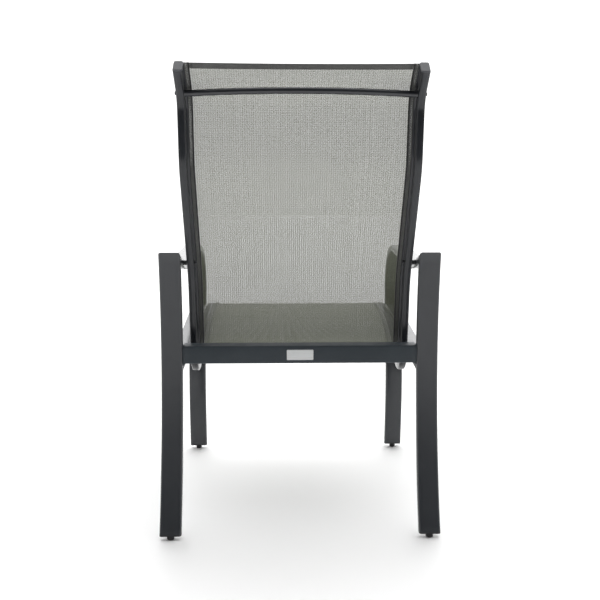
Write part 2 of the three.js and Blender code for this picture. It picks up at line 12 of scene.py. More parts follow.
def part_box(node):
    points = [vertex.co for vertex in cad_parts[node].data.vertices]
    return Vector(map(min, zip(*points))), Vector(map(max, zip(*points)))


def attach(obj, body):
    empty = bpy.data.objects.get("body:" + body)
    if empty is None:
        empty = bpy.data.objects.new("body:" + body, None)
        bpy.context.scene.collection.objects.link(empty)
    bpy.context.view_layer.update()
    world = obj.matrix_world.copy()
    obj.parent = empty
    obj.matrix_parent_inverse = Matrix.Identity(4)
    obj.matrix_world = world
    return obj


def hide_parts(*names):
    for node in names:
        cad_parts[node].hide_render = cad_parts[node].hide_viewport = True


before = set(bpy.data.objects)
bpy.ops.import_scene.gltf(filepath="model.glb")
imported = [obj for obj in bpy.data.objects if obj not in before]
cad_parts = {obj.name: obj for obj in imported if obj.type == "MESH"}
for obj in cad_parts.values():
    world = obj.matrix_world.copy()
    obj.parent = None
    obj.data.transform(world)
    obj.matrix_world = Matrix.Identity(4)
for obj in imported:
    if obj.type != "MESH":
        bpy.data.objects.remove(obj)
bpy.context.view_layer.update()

# Sizes of the chair and its pieces, the same as in the solid model
CHAIR_WIDTH = 0.635
FOOT_SPREAD = 0.545
SEAT_HEIGHT = 0.445
ARM_RISE = 0.1865
BACK_RISE = 0.588
GAP = 0.0003

TUBE_WIDTH = 0.049
TUBE_DEPTH = 0.018
TUBE_CORNER = 0.005
REAR_LEG_RADIUS = 1.4
FRONT_LEG_RADIUS = 0.7
FRONT_BEND_RADIUS = 0.118
ARM_DIP_RADIUS = 0.35

STRETCHER_CORNER = 0.0035
SIDE_STRETCHER_WIDTH = 0.038
SIDE_STRETCHER_HEIGHT = 0.022
REAR_STRETCHER_HEIGHT = 0.041
REAR_STRETCHER_DEPTH = 0.039
FRONT_STRETCHER_HEIGHT = 0.038

RAIL_WIDTH = 0.021
RAIL_DEPTH = 0.030
RAIL_WALL = 0.0016
RAIL_CORNER = 0.004
RAIL_BACK_CORNER = 0.005
RAIL_GAP = 0.008
LOBE_REACH = 0.004
LOBE_WALL = 0.001
CHANNEL_TILT = math.radians(45)
FRONT_ROLL_RADIUS = 0.032
SEAT_RADIUS = 0.450
SEAT_BEND_RADIUS = 0.045
LUMBAR_RADIUS = 0.250
SHOULDER_RADIUS = 0.170
TOP_ROLL_RADIUS = 0.090

FABRIC_THICKNESS = 0.0011
HEM_WIDTH = 0.0095
END_HEM = 0.0145
SPLINE_RADIUS = 0.0022
SLING_MARGIN = 0.0005

BRACE_RADIUS = 0.007
BRACE_BOW = 0.050
BRACE_END_LENGTH = 0.014
BRACE_ELBOW_RADIUS = 0.025

BOLT_HEAD_RADIUS = 0.00525
BOLT_HEAD_HEIGHT = 0.004
INSERT_FLANGE_RADIUS = 0.0065
INSERT_FLANGE = 0.0008
SPACER_RADIUS = 0.0055
SCREW_HEAD_RADIUS = 0.0045
SCREW_HEAD_HEIGHT = 0.0028

GLIDE_RADIUS = 0.00825
GLIDE_HEIGHT = 0.0095
GLIDE_EDGE = 0.0018
PLUG_FLANGE = 0.0026
CAP_WIDTH = 0.0194
CAP_FLANGE = 0.003

PLATE_WIDTH = 0.061
PLATE_HEIGHT = 0.024
PLATE_THICKNESS = 0.001
PLATE_CORNER = 0.002

# Side view, as shares of the foot spread and of the heights
FRONT_FOOT_SHARE = -0.5376
REAR_FOOT_SHARE = 0.4624
FRONT_LEG_KNEE_SHARES = (-0.5064, 0.472)
FRONT_CORNER_SHARES = (-0.6459, 0.948)
ARM_DIP_SHARES = (0.167, 0.806)
ARM_CORNER_SHARE = 0.3633
SIDE_STRETCHER_REAR_SHARE = 0.854
SIDE_STRETCHER_FRONT_SHARE = 0.951
RAIL_FRONT_END_SHARES = (-0.5633, 0.872)
RAIL_FRONT_ROLL_SHARES = (-0.5725, 0.9739)
RAIL_SEAT_SHARES = (-0.1817, 0.9308)
RAIL_BEND_SHARES = (0.1749, 0.749)
RAIL_LUMBAR_SHARES = (0.2312, 0.2211)
RAIL_SHOULDER_SHARES = (0.4516, 0.6604)
RAIL_TOP_ROLL_SHARES = (0.4798, 0.9094)
RAIL_TOP_END_SHARE = 0.58

# How finely curves are cut
TURN_STEP = math.radians(2.5)
CHORD_LIMIT = 0.012
STRETCHER_CHORD = 0.02
BRACE_CHORD = 0.006
DOUBLED_SHARE = 1 / 20
SUPPORT_SHARE = 1 / 16
CORNER_STEPS = 6
LIP_STEPS = 2
CHANNEL_STEPS = 20
HEM_BEND_STEPS = 4
HEM_LOOP_STEPS = 24
SIDE_STRETCHER_STEPS = 14
BRACE_SIDES = 40
LATHE_SIDES = 48

# Places worked out from the sizes
frame_inner = CHAIR_WIDTH / 2 - TUBE_WIDTH
frame_middle = CHAIR_WIDTH / 2 - TUBE_WIDTH / 2
rail_outer = frame_inner - RAIL_GAP
rail_middle = rail_outer - RAIL_WIDTH / 2
rail_inner = rail_outer - RAIL_WIDTH
rail_waist = rail_inner + LOBE_REACH
leg_start = GLIDE_HEIGHT + GAP
tube_start = leg_start + PLUG_FLANGE + GAP
channel_radius = SPLINE_RADIUS + FABRIC_THICKNESS + 2 * GAP
mouth_half = FABRIC_THICKNESS + GAP
channel_from_corner = RAIL_WALL + math.sqrt(channel_radius ** 2 - mouth_half ** 2)
channel_from_face = RAIL_CORNER + (channel_from_corner - RAIL_CORNER) * math.cos(CHANNEL_TILT)
channel_level = RAIL_DEPTH / 2 - RAIL_CORNER - (channel_from_corner - RAIL_CORNER) * math.sin(CHANNEL_TILT)
channel_x = rail_inner + channel_from_face
cloth_level = RAIL_DEPTH / 2 - FABRIC_THICKNESS + GAP / 2

X = Vector((1, 0, 0))
Y = Vector((0, 1, 0))
Z = Vector((0, 0, 1))
SIDES = (("left", 1), ("right", -1))


# Paths and sections

def centre_of(name):
    low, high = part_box(name)
    return (low + high) / 2


def side(y, z):
    return Vector((0, y, z))


def seat_point(shares):
    """A place in the side view, in shares of the foot spread and of the seat's height."""
    return side(shares[0] * FOOT_SPREAD, shares[1] * SEAT_HEIGHT)


def raised_point(shares, rise):
    """A place above the seat in the side view, in shares of the foot spread and of the rise."""
    return side(shares[0] * FOOT_SPREAD, SEAT_HEIGHT + shares[1] * rise)


class Station:
    """A place on a path and the direction there. A face, where one is set, cuts the section at a slant."""
    def __init__(self, at, along):
        self.at = at.copy()
        self.along = along.normalized()
        self.face = None


def between(a, b, share):
    return Station(a.at.lerp(b.at, share), a.along.lerp(b.along, share))


def bent_path(corners, chord=CHORD_LIMIT):
    """Straight runs joined by arcs, with stations close enough for a smooth surface."""
    points = [point for point, _ in corners]
    runs = [b - a for a, b in zip(points, points[1:])]
    wanted = [0.0] * len(points)
    for i in range(1, len(points) - 1):
        wanted[i] = corners[i][1] * math.tan(runs[i - 1].angle(runs[i]) / 2)
    room = []
    for i, run in enumerate(runs):
        need = wanted[i] + wanted[i + 1]
        room.append(min(1.0, run.length / need) if need else 1.0)
    marks = [Station(points[0], runs[0])]
    for i in range(1, len(points) - 1):
        before = runs[i - 1].normalized()
        after = runs[i].normalized()
        turn = before.angle(after)
        reach = wanted[i] * min(room[i - 1], room[i])
        radius = reach / math.tan(turn / 2)
        inward = (after - before * after.dot(before)).normalized()
        centre = points[i] - before * reach + inward * radius
        steps = max(2, math.ceil(turn / TURN_STEP), math.ceil(turn * radius / chord))
        for k in range(steps + 1):
            angle = turn * k / steps
            at = centre - inward * radius * math.cos(angle) + before * radius * math.sin(angle)
            marks.append(Station(at, before * math.cos(angle) + inward * math.sin(angle)))
    marks.append(Station(points[-1], runs[-1]))
    return filled(marks, chord)


def filled(marks, chord):
    """More stations on the straight runs, so that shading doesn't spread along them, and none doubled."""
    path = [marks[0]]
    for a, b in zip(marks, marks[1:]):
        length = (b.at - a.at).length
        count = math.ceil(length / chord)
        if length < chord * DOUBLED_SHARE:
            continue
        path += [between(a, b, k / count) for k in range(1, count)]
        path.append(b)
    return path


def bowed_path(start, end, radius):
    """One arc in the side view, bulging towards the front."""
    run = end - start
    half = run.length / 2
    up = run.normalized()
    back = up.cross(X)
    centre = (start + end) / 2 + back * math.sqrt(radius ** 2 - half ** 2)
    turn = 2 * math.asin(half / radius)
    steps = math.ceil(turn * radius / CHORD_LIMIT)
    path = []
    for k in range(steps + 1):
        angle = turn * (k / steps - 0.5)
        at = centre - back * radius * math.cos(angle) + up * radius * math.sin(angle)
        path.append(Station(at, up * math.cos(angle) + back * math.sin(angle)))
    return path


def lengths_along(points):
    lengths = [0.0]
    for a, b in zip(points, points[1:]):
        lengths.append(lengths[-1] + (b - a).length)
    return lengths


def path_lengths(path):
    return lengths_along([station.at for station in path])


def point_at(path, height):
    for a, b in zip(path, path[1:]):
        low, high = a.at.z, b.at.z
        if (low - height) * (high - height) <= 0 and low != high:
            return a.at.lerp(b.at, (height - low) / (high - low))
    return path[-1].at.copy()


def arc(x, level, radius, start, stop, steps):
    angles = [start + (stop - start) * i / steps for i in range(steps + 1)]
    return [Vector((x + radius * math.cos(a), level + radius * math.sin(a))) for a in angles]


def supported(points):
    """The same points with one more beside each end, so that a flat side next to them shades flat."""
    support = (points[-1] - points[0]).length * SUPPORT_SHARE
    before = points[0] + (points[0] - points[1]).normalized() * support
    after = points[-1] + (points[-1] - points[-2]).normalized() * support
    return [before, *points, after]


def rounded_box(width, height, corner):
    """A rounded rectangle, counterclockwise."""
    points = []
    for quarter, (right, up) in enumerate(((1, 1), (-1, 1), (-1, -1), (1, -1))):
        x = right * (width / 2 - corner)
        level = up * (height / 2 - corner)
        start = quarter * math.pi / 2
        points += supported(arc(x, level, corner, start, start + math.pi / 2, CORNER_STEPS))
    return points


def circle(radius, sides):
    angles = [2 * math.pi * i / sides for i in range(sides)]
    return [Vector((radius * math.cos(a), radius * math.sin(a))) for a in angles]


# Meshes

def new_object(name, mesh, material, slot, replaces=()):
    obj = bpy.data.objects.new(name, mesh)
    bpy.context.scene.collection.objects.link(obj)
    mesh.materials.append(material)
    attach(obj, "root")
    if replaces:
        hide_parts(*replaces)
    return obj


def mesh_of(bm, name):
    mesh = bpy.data.meshes.new(name)
    bm.to_mesh(mesh)
    bm.free()
    return mesh


def finished(bm, name):
    """The mesh with its faces turned outwards."""
    bmesh.ops.recalc_face_normals(bm, faces=bm.faces)
    return mesh_of(bm, name)


def add_quad(bm, layer, corners, uvs):
    face = bm.faces.new(corners)
    face.smooth = True
    for loop, uv in zip(face.loops, uvs):
        loop[layer].uv = uv


def bridge(bm, near, far, flat=()):
    """Faces between two closed rings, smooth apart from those whose numbers are in flat."""
    for i in range(len(near)):
        j = (i + 1) % len(near)
        face = bm.faces.new((near[i], near[j], far[j], far[i]))
        face.smooth = i not in flat


def close(bm, rings):
    bm.faces.new(list(reversed(rings[0])))
    bm.faces.new(rings[-1])


def sweep_into(bm, stations, outline, across=X, middle=0.0, ends=True, insets=None):
    """Adds a section swept along the stations, with lengths round and along it, in metres, as UVs."""
    layer = bm.loops.layers.uv.verify()
    girths = lengths_along([*outline, outline[0]])
    lengths = path_lengths(stations)
    rings = []
    for index, s in enumerate(stations):
        level = across.cross(s.along).normalized()
        ring = []
        for a, b in outline:
            if insets:
                a -= math.copysign(insets[index], a)
                b -= math.copysign(insets[index], b)
            point = s.at + across * (a + middle) + level * b
            if s.face:
                slip = (point - s.at).dot(s.face) / s.along.dot(s.face)
                point = point - s.along * slip
            ring.append(bm.verts.new(point))
        rings.append(ring)
    for near, far, v0, v1 in zip(rings, rings[1:], lengths, lengths[1:]):
        for i in range(len(outline)):
            j = (i + 1) % len(outline)
            add_quad(bm, layer, (near[i], near[j], far[j], far[i]),
                     ((girths[i], v0), (girths[i + 1], v0), (girths[i + 1], v1), (girths[i], v1)))
    if ends:
        close(bm, rings)


def mark_ends(bm):
    """Crisp edges round the end faces, the only ones with more than four corners."""
    for face in bm.faces:
        if len(face.verts) > 4:
            for edge in face.edges:
                edge.smooth = False


def swept(name, stations, outline, material, across=X, middle=0.0, insets=None, **kw):
    bm = bmesh.new()
    sweep_into(bm, stations, outline, across, middle, insets=insets)
    if not insets:
        mark_ends(bm)
    return new_object(name, finished(bm, name), material, **kw)


def slab(name, at, along, outline, thickness, edge, material, **kw):
    """A flat piece with a softened far edge: pairs of height and inset, in shares of the thickness."""
    stations = [Station(at + along * (height * thickness), along) for height, _ in edge]
    return swept(name, stations, outline, material, insets=[inset * thickness for _, inset in edge], **kw)


def turned(name, profile, material, centre, axis="X", heading=1, socket=False, **kw):
    """A lathe piece: the profile of (radius, height) goes round the axis through the centre.
    The last two rings of a piece with a socket are pulled to a hexagon with crisp edges."""
    hexed = range(len(profile) - 2, len(profile)) if socket else ()
    sixth = math.pi / 3
    bm = bmesh.new()
    rings = []
    for index, (radius, height) in enumerate(profile):
        ring = []
        for i in range(LATHE_SIDES):
            angle = 2 * math.pi * i / LATHE_SIDES
            r = radius
            if index in hexed:
                r = radius / math.cos(angle % sixth - sixth / 2)
            a, b = r * math.cos(angle), r * math.sin(angle)
            if axis == "X":
                point = Vector((heading * height, a, b))
            else:
                point = Vector((a, b, heading * height))
            ring.append(bm.verts.new(centre + point))
        rings.append(ring)
    for index, (near, far) in enumerate(zip(rings, rings[1:])):
        bridge(bm, near, far, flat=range(LATHE_SIDES) if index in hexed else ())
    close(bm, rings)
    for index in hexed:
        ring = set(rings[index])
        for edge in bm.edges:
            if edge.verts[0] in ring and edge.verts[1] in ring:
                edge.smooth = False
    mark_ends(bm)
    return new_object(name, finished(bm, name), material, **kw)


# Node helpers. An input that is given a socket is linked to it, and any other value is set.

def new_material(name):
    material = bpy.data.materials.new(name)
    material.use_nodes = True
    tree = material.node_tree
    return material, tree, tree.nodes["Principled BSDF"]


def is_socket(value):
    return isinstance(value, bpy.types.NodeSocket)


def feed(made, values):
    for key, value in values.items():
        if is_socket(value):
            made.id_data.links.new(value, made.inputs[key])
        else:
            made.inputs[key].default_value = value


def node(tree, kind, values=None, **settings):
    made = tree.nodes.new(kind)
    for key, value in settings.items():
        setattr(made, key, value)
    feed(made, values or {})
    return made


def tree_of(*values):
    return next(value.id_data for value in values if is_socket(value))


def noise(place, scale, detail=3.0, roughness=0.5, stretch=None):
    tree = place.id_data
    if stretch:
        place = node(tree, "ShaderNodeMapping", {"Vector": place, "Scale": stretch}).outputs["Vector"]
    values = {"Vector": place, "Scale": scale, "Detail": detail, "Roughness": roughness}
    return node(tree, "ShaderNodeTexNoise", values).outputs["Fac"]


def line_noise(value, scale, detail):
    """Noise that changes with one coordinate only, so it draws lines."""
    values = {"W": value, "Scale": scale, "Detail": detail}
    return node(value.id_data, "ShaderNodeTexNoise", values, noise_dimensions="1D").outputs["Fac"]


def ranged(value, low, high, to_low, to_high, curve="LINEAR"):
    values = {0: value, 1: low, 2: high, 3: to_low, 4: to_high}
    return node(value.id_data, "ShaderNodeMapRange", values, interpolation_type=curve).outputs[0]


def spread(value, edge=0.3, to_low=0.0, to_high=1.0):
    """Noise, which seldom comes near 0 or 1, spread from the edges of its usual range."""
    return ranged(value, edge, 1 - edge, to_low, to_high)


def math_node(operation, *values):
    inputs = dict(enumerate(values))
    return node(tree_of(*values), "ShaderNodeMath", inputs, operation=operation).outputs[0]


def times(first, second):
    return math_node("MULTIPLY", first, second)


def times_plus(first, second, added):
    return math_node("MULTIPLY_ADD", first, second, added)


def mixed(share, first, second, blend="MIX"):
    """The first colour moved towards the second by the share. Each is three numbers or a socket."""
    tree = tree_of(share, first, second)
    first, second = (colour if is_socket(colour) else (*colour, 1) for colour in (first, second))
    values = {"Factor": share, "A": first, "B": second}
    return node(tree, "ShaderNodeMix", values, data_type="RGBA", blend_type=blend).outputs["Result"]


def bumped(height, distance, strength=1.0, after=None):
    values = {"Height": height, "Distance": distance, "Strength": strength}
    if after:
        values["Normal"] = after
    return node(height.id_data, "ShaderNodeBump", values).outputs["Normal"]


def object_place(tree):
    return node(tree, "ShaderNodeTexCoord").outputs["Object"]


def uv_place(tree):
    return node(tree, "ShaderNodeUVMap").outputs["UV"]


def uv_parts(tree):
    parts = node(tree, "ShaderNodeSeparateXYZ", {0: uv_place(tree)})
    return parts.outputs[0], parts.outputs[1]


# Paint, plastic and metal. Scales are those of noise over a metre, and depths are in metres.
PAINT_CLOUD = 9.0
PAINT_SPECK = 1400.0
PAINT_EDGE = 0.35
SPECK_SHARE = 0.35
PAINT_PATCH = 38.0
PAINT_ROUGHNESS = (0.41, 0.50)
PEEL_SCALE = 420.0
PEEL_DEPTH = 0.00012
GRAIN_SCALE = 2600.0
GRAIN_DEPTH = 0.00004
PAINT_BUMP = 0.5
DIE_LINE_SCALE = 210.0
# Painted highlight: the pointiness range of the convex edges, and how far they are lightened towards a paler
# grey
EDGE_HIGHLIGHT_RANGE = (0.53, 0.60)
EDGE_HIGHLIGHT_SHARE = 0.25
EDGE_HIGHLIGHT_TONE = (0.11, 0.115, 0.12)
MOULDED_CLOUD = 60.0
MOULDED_DEPTH = 0.00008
MOULDED_BUMP = 0.6
MOULDED_UNEVEN = (-0.06, 0.08)
BRUSHED_SCALE = 900.0
BRUSHED_DEPTH = 0.00003
BRUSHED_BUMP = 0.4
BRUSHED_UNEVEN = (-0.07, 0.09)
FINE_ROUGHNESS = 0.6


def powder_coat(name, dark, light, gloss, grain=1.0, skin=0.8, shine=0.25, die_lines=0.0):
    """Powder coat: a satin charcoal base under a smoother clear skin, with fine orange peel, a painted
    highlight on its sharper edges, and the lines that a die leaves along an extrusion where die_lines gives
    their depth."""
    material, tree, shader = new_material(name)
    place = object_place(tree)
    cloud = spread(noise(place, PAINT_CLOUD), PAINT_EDGE)
    speck = spread(noise(place, PAINT_SPECK, detail=2.0), PAINT_EDGE)
    tone = times_plus(speck, SPECK_SHARE, times(cloud, 1 - SPECK_SHARE))
    # Painted highlight: the sharper edges are lightened, standing in for the light they catch.
    pointed = node(tree, "ShaderNodeNewGeometry").outputs["Pointiness"]
    edge_highlight = ranged(pointed, *EDGE_HIGHLIGHT_RANGE, 0.0, EDGE_HIGHLIGHT_SHARE)
    peel = bumped(noise(place, PEEL_SCALE, detail=2.0), PEEL_DEPTH * grain, PAINT_BUMP)
    fine = bumped(noise(place, GRAIN_SCALE, detail=1.0), GRAIN_DEPTH * grain, PAINT_BUMP, peel)
    if die_lines:
        round_section, _ = uv_parts(tree)
        fine = bumped(line_noise(round_section, DIE_LINE_SCALE, detail=2.0), die_lines, after=fine)
    feed(shader, {
        "Base Color": mixed(edge_highlight, mixed(tone, dark, light), EDGE_HIGHLIGHT_TONE),
        "Roughness": spread(noise(place, PAINT_PATCH, detail=4.0), 0.3, *PAINT_ROUGHNESS),
        "Specular IOR Level": shine,
        "Coat Weight": skin,
        "Coat Roughness": gloss,
        "Normal": fine,
        "Coat Normal": fine,
    })
    return material


def moulded(name, dark, light, gloss, scale=1500.0):
    """Moulded plastic: a fine spark-eroded grain."""
    material, tree, shader = new_material(name)
    place = object_place(tree)
    grain = noise(place, scale, roughness=FINE_ROUGHNESS)
    feed(shader, {
        "Base Color": mixed(spread(noise(place, MOULDED_CLOUD)), dark, light),
        "Roughness": spread(grain, 0.3, gloss + MOULDED_UNEVEN[0], gloss + MOULDED_UNEVEN[1]),
        "Normal": bumped(grain, MOULDED_DEPTH, MOULDED_BUMP),
    })
    return material


def metal(name, dark, light, gloss, stretch=None):
    """Bare metal, with its grain drawn out into brushing where a stretch is given."""
    material, tree, shader = new_material(name)
    lines = noise(object_place(tree), BRUSHED_SCALE, 4.0, FINE_ROUGHNESS, stretch)
    feed(shader, {
        "Metallic": 1.0,
        "Base Color": mixed(spread(lines), dark, light),
        "Roughness": spread(lines, 0.3, gloss + BRUSHED_UNEVEN[0], gloss + BRUSHED_UNEVEN[1]),
        "Normal": bumped(lines, BRUSHED_DEPTH, BRUSHED_BUMP),
    })
    return material


# Weave: yarns in groups of three, each a little different. Widths are shares of the pitch, and a pair is
# for the yarns that lie side by side across the cloth and for those side by side along it.
WEAVE_PITCH = 0.0016
WEAVE_GROUP = 3
WEAVE_GROUPING = (0.10, 0.06)
WEAVE_STREAKS = 150.0
WEAVE_STREAKING = (0.07, 0.03)
WEAVE_VARIATION = (0.04, 0.02)
WEAVE_SOFTNESS = 0.08
WEAVE_DEPTH = 0.0004
WEAVE_BUMP = 0.7
WEAVE_STRAND = 0.54
HEM_STRAND = 0.63
END_HEM_STRAND = 0.78

# Yarns: how far they rise and sink, the shade painted at their edges, and what tones them
YARN_LEVEL = 0.6
YARN_RISE = 0.4
YARN_SHADE = 0.55
YARN_LIT = 0.7
YARN_TONES = (0.5, 0.25)
CLOUD_TONE = 0.25
CLOTH_CLOUD = 12.0
YARN_UNEVEN = 0.08
YARN_SHEEN = 0.9
SHEEN_ROUGHNESS = 0.35

# The seat, the cloth's first length from the front: its yarns lie closer, under painted light in ribs
SEAT_LENGTH = 0.45
SEAT_FADE = (0.05, 0.03)
SEAT_CLOSER = 0.22
SEAT_PAINTED_LIGHT = 0.75
SEAT_LIT_TINT = (0.208, 0.212, 0.208)
SEAT_LIT_TINT_SHARE = 0.5
SEAT_RIBS = 0.40
SEAT_RIB_PITCH = 0.0062

# The sewn edge of a side hem, closed and dark with thread, and kept lighter on the seat by painted light
SEWN_WIDTH = 0.0040
SEWN_FADE = 1.15
SEWN_TONE = 0.16
SEWN_SEAT_LIGHT = 0.7


def yarns(coordinate, axis, strand, seat, closer):
    """The yarns that lie side by side along one UV coordinate: how far a place is from the middle of its
    yarn, that yarn's width and tone, and the wave by which the other yarns go over and under it."""
    place = math_node("DIVIDE", coordinate, WEAVE_PITCH)
    wave = math_node("SINE", times(place, math.pi))
    off = math_node("ABSOLUTE", math_node("SUBTRACT", math_node("FRACT", place), 0.5))
    number = {"W": math_node("FLOOR", place)}
    cell = node(place.id_data, "ShaderNodeTexWhiteNoise", number, noise_dimensions="1D")
    tone = cell.outputs["Value"]
    variation = WEAVE_VARIATION[axis]
    width = times_plus(tone, variation, strand - variation / 2)
    group = math_node("COSINE", times(place, 2 * math.pi / WEAVE_GROUP))
    if closer:
        width = times_plus(seat, closer, width)
        if axis:
            group = times(group, math_node("SUBTRACT", 1.0, seat))
    streak = line_noise(coordinate, WEAVE_STREAKS, detail=3.0)
    streaking = WEAVE_STREAKING[axis]
    width = times_plus(streak, 2 * streaking, math_node("SUBTRACT", width, streaking))
    return times(off, 2.0), times_plus(group, WEAVE_GROUPING[axis], width), tone, wave


def woven(name, dark, light, strand, gloss=0.55, seat_closer_and_lit=0.0, sewn=0.0):
    """Vinyl-coated yarn in an open basket weave. The UVs are metres across and along the cloth.
    Where a seat closeness is given, the seat's yarns lie closer and more evenly, and it gets painted light,
    paler and greyer in ribs; the cloth is closed and dark with thread over the width sewn along its edge."""
    material, tree, shader = new_material(name)
    across, along = uv_parts(tree)
    seat = ranged(along, SEAT_LENGTH - SEAT_FADE[0], SEAT_LENGTH + SEAT_FADE[1], 1.0, 0.0, "SMOOTHSTEP")
    families = [yarns(coordinate, axis, strand, seat, seat_closer_and_lit)
                for axis, coordinate in enumerate((across, along))]
    offs, widths, tones, waves = zip(*families)
    over = times(*waves)
    crowns = []
    for off, width, rise in zip(offs, widths, (YARN_RISE, -YARN_RISE)):
        share = math_node("DIVIDE", off, width)
        crown = math_node("MAXIMUM", math_node("SUBTRACT", 1.0, times(share, share)), 0.0)
        crowns.append(times(crown, times_plus(over, rise, YARN_LEVEL)))
    height = math_node("MAXIMUM", *crowns)
    edges = [math_node("SUBTRACT", off, width) for off, width in zip(offs, widths)]
    solid = ranged(math_node("MINIMUM", *edges), -WEAVE_SOFTNESS, WEAVE_SOFTNESS, 1.0, 0.0)
    tone = times_plus(tones[0], YARN_TONES[0], times(tones[1], YARN_TONES[1]))
    tone = times_plus(noise(uv_place(tree), CLOTH_CLOUD, detail=2.0), CLOUD_TONE, tone)
    base = mixed(tone, dark, light)
    # Painted shade: each yarn darkens towards its edges, and is fully lit above YARN_LIT of its height.
    shade = ranged(height, 0.0, YARN_LIT, YARN_SHADE, 1.0)
    if seat_closer_and_lit:
        # Painted light on the seat: its colour is washed towards a paler grey, and its yarns are lit in ribs.
        base = mixed(times(seat, SEAT_LIT_TINT_SHARE), base, SEAT_LIT_TINT)
        ribs = math_node("COSINE", times(across, 2 * math.pi / SEAT_RIB_PITCH))
        lift = times_plus(ribs, SEAT_RIBS, SEAT_PAINTED_LIGHT)
        shade = times(shade, times_plus(seat, lift, 1.0))
    if sewn:
        thread_tone = ranged(across, sewn, sewn * SEWN_FADE, SEWN_TONE, 1.0)
        # Painted light: on the seat the sewn edge is kept lighter.
        thread_tone = math_node("MAXIMUM", thread_tone, times(seat, SEWN_SEAT_LIGHT))
        shade = times(shade, thread_tone)
        solid = math_node("MAXIMUM", solid, ranged(across, sewn, sewn * SEWN_FADE, 1.0, 0.0))
    feed(shader, {
        "Base Color": mixed(1.0, base, shade, "MULTIPLY"),
        "Roughness": ranged(tone, 0.0, 1.0, gloss - YARN_UNEVEN, gloss + YARN_UNEVEN),
        "Sheen Weight": YARN_SHEEN,
        "Sheen Roughness": SHEEN_ROUGHNESS,
        "Normal": bumped(height, WEAVE_DEPTH, WEAVE_BUMP),
        "Alpha": solid,
    })
    return material


# Materials
coat = powder_coat("charcoal_powder_coat", (0.024, 0.027, 0.032), (0.033, 0.036, 0.042), 0.16)
# The rails' coat is a darker copy of the frame's: painted shade for the dark that their faces reflect.
rail_shaded_coat = powder_coat("charcoal_rail_coat", (0.009, 0.011, 0.015), (0.014, 0.016, 0.021), 0.12,
                        skin=0.65, die_lines=0.0009)
# The stretchers' coat is a lighter, less glossy copy of the frame's: painted light on their faces. The welds
# share it.
stretcher_lit_coat = powder_coat("charcoal_stretcher_coat", (0.040, 0.049, 0.057), (0.051, 0.061, 0.070), 0.22,
                             skin=0.12, shine=0.12)
# The brace's coat is a darker copy of the frame's: painted shade on the round bar.
brace_shaded_coat = powder_coat("charcoal_brace_coat", (0.012, 0.013, 0.017), (0.018, 0.020, 0.024), 0.12,
                         grain=0.6)
cap_plastic = moulded("cap_plastic", (0.056, 0.059, 0.066), (0.074, 0.077, 0.086), 0.42)
plug_plastic = moulded("plug_plastic", (0.018, 0.019, 0.021), (0.028, 0.029, 0.032), 0.5)
glide_rubber = moulded("glide_rubber", (0.010, 0.010, 0.011), (0.018, 0.018, 0.019), 0.6, scale=900.0)
thread = moulded("thread", (0.020, 0.020, 0.020), (0.035, 0.035, 0.034), 0.6, scale=3000.0)
black_steel = metal("black_steel", (0.045, 0.046, 0.050), (0.075, 0.076, 0.080), 0.34)
plate_metal = metal("plate_metal", (0.50, 0.51, 0.51), (0.62, 0.63, 0.63), 0.34, stretch=(0.03, 1.0, 1.0))
mesh_cloth = woven("woven_mesh", (0.162, 0.172, 0.114), (0.208, 0.221, 0.154), WEAVE_STRAND,
                   seat_closer_and_lit=SEAT_CLOSER)
end_hem_cloth = woven("end_hem_weave", (0.095, 0.096, 0.092), (0.135, 0.137, 0.131), END_HEM_STRAND,
                      gloss=0.5)
side_hem_cloth = woven("side_hem_weave", (0.105, 0.107, 0.100), (0.145, 0.148, 0.138), HEM_STRAND,
                       gloss=0.5, seat_closer_and_lit=SEAT_CLOSER, sewn=SEWN_WIDTH)

# Side view of the frame
arm_corner = side(ARM_CORNER_SHARE * FOOT_SPREAD, SEAT_HEIGHT + ARM_RISE)
rear_leg_path = bowed_path(side(REAR_FOOT_SHARE * FOOT_SPREAD, tube_start), arm_corner, REAR_LEG_RADIUS)
arm_path = bent_path([
    (side(FRONT_FOOT_SHARE * FOOT_SPREAD, tube_start), 0),
    (seat_point(FRONT_LEG_KNEE_SHARES), FRONT_LEG_RADIUS),
    (raised_point(FRONT_CORNER_SHARES, ARM_RISE), FRONT_BEND_RADIUS),
    (raised_point(ARM_DIP_SHARES, ARM_RISE), ARM_DIP_RADIUS),
    (arm_corner, 0),
])
rail_path = bent_path([
    (seat_point(RAIL_FRONT_END_SHARES), 0),
    (seat_point(RAIL_FRONT_ROLL_SHARES), FRONT_ROLL_RADIUS),
    (seat_point(RAIL_SEAT_SHARES), SEAT_RADIUS),
    (seat_point(RAIL_BEND_SHARES), SEAT_BEND_RADIUS),
    (raised_point(RAIL_LUMBAR_SHARES, BACK_RISE), LUMBAR_RADIUS),
    (raised_point(RAIL_SHOULDER_SHARES, BACK_RISE), SHOULDER_RADIUS),
    (raised_point(RAIL_TOP_ROLL_SHARES, BACK_RISE), TOP_ROLL_RADIUS),
    (side(RAIL_TOP_END_SHARE * FOOT_SPREAD, SEAT_HEIGHT + BACK_RISE), 0),
])

# The solid model is centred front to back, so the paths move by the same step.
foot = rear_leg_path[0]
foot_y = foot.at.y + foot.along.y * (leg_start - foot.at.z) / foot.along.z
recentre = side(centre_of("left_rear_glide").y - foot_y, 0)
for path in (rear_leg_path, arm_path, rail_path):
    for station in path:
        station.at += recentre
arm_corner = arm_corner + recentre

arm_end = arm_path[-1]
leg_end = rear_leg_path[-1]
mitre = X.cross((arm_end.along + leg_end.along).normalized())
if mitre.dot(arm_end.along - leg_end.along) < 0:
    mitre = -mitre
arm_end.face = mitre
leg_end.face = mitre
arm_end.at = arm_corner - mitre * GAP / 2
leg_end.at = arm_corner + mitre * GAP / 2
rear_leg_path[0].face = Z
arm_path[0].face = Z

